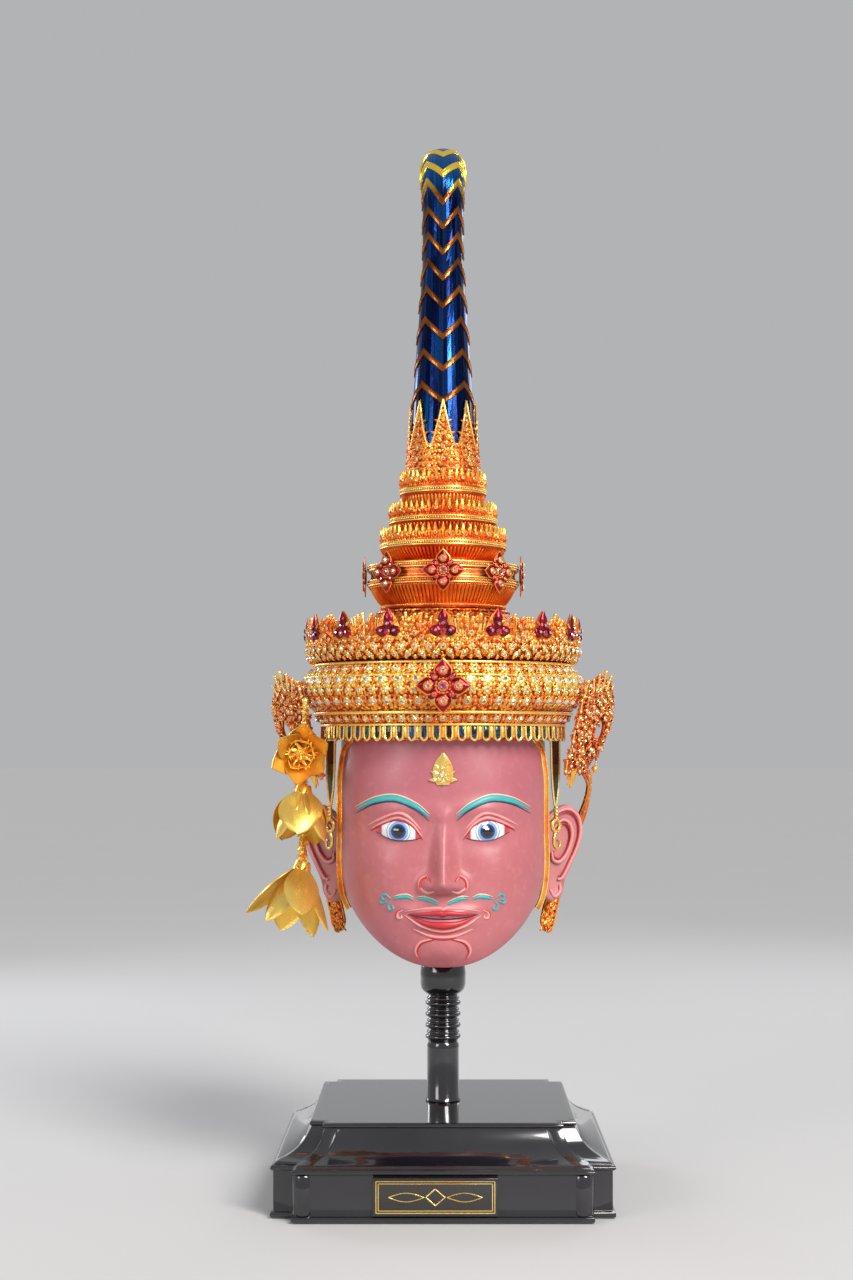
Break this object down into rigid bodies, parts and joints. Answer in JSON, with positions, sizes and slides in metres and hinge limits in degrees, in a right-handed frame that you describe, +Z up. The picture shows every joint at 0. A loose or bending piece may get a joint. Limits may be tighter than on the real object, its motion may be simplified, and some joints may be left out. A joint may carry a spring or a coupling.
{
  "type": "khon dance mask on a display stand",
  "caption": "Thai khon dance mask with a painted face, tall tiered gilt crown, blue glass spire and flower pendants, on a black lacquer stand.",
  "frame": {"origin": "under the middle of the stand's base, at floor level", "axes": "+Z up along the post and spire, the face looks along -Y, +X is on the right seen from the front"},
  "size_m": [0.3125, 0.2688, 0.887],
  "materials": {
    "painted_skin": "dusty pink paint with a soft sheen over papier-mache",
    "gilt": "warm gilding over moulded relief, set with clear and garnet stones",
    "pale_gilt": "satin yellow gilding",
    "blue_mirror": "deep blue mirror-glass mosaic with gold lines",
    "black_lacquer": "high-gloss black lacquer on wood",
    "plaque": "dark plate with a thin gilt border"
  },
  "bodies": {
    "root": {"mask_shell": "painted_skin", "brow_jewel": "pale_gilt", "crown_band": "gilt", "crown_crest": "gilt", "crown_bowl": "gilt", "crown_collar": "gilt", "crown_lower_tier": "gilt", "crown_upper_tier": "gilt", "spire_sleeve": "gilt", "spire": "blue_mirror", "bowl_rosette_1": "gilt", "bowl_rosette_2": "gilt", "bowl_rosette_3": "gilt", "bowl_rosette_4": "gilt", "bowl_rosette_5": "gilt", "bowl_rosette_6": "gilt", "bowl_rosette_7": "gilt", "bowl_rosette_8": "gilt", "band_rosette_front": "gilt", "band_rosette_back": "gilt", "ear_flame_right": "gilt", "ear_flame_left": "gilt", "side_lock_right": "gilt", "side_lock_left": "gilt", "pendant_strand": "gilt", "pendant_blossom_top": "pale_gilt", "pendant_blossom_middle": "pale_gilt", "pendant_blossom_bottom": "pale_gilt", "stand_base": "black_lacquer", "stand_post": "black_lacquer", "stand_plaque": "plaque"}
  },
  "joints": []
}
